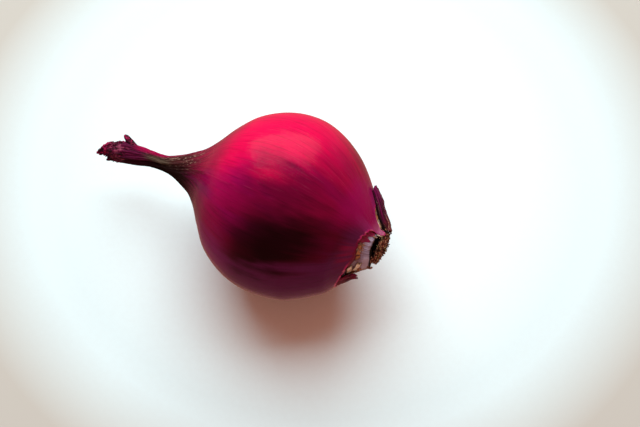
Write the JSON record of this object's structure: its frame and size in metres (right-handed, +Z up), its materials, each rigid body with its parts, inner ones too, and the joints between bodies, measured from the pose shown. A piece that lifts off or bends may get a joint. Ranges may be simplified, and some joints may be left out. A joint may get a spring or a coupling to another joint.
{
  "type": "red onion",
  "caption": "Red onion lying on its side: glossy round bulb drawn out into a dry frayed neck, with a torn skin edge, corky root plate and loose scraps of dry skin.",
  "frame": {"origin": "middle of the small flat spot on the bulb's underside that the onion rests on", "axes": "+X along the bulb from the neck to the root plate, +Y to the far side, +Z up; the root end is raised by four degrees"},
  "size_m": [0.1179, 0.0703, 0.0691],
  "materials": {
    "bulb_skin": "smooth glossy magenta skin with fine dark streaks along the bulb, dull and brown on the neck",
    "root_cork": "dry crumbly cork",
    "dry_skin": "thin dry papery skin, dark purple"
  },
  "bodies": {
    "root": {"bulb": "bulb_skin", "root_plate": "root_cork", "skin_flap": "dry_skin", "skin_tatter": "dry_skin"}
  },
  "joints": []
}
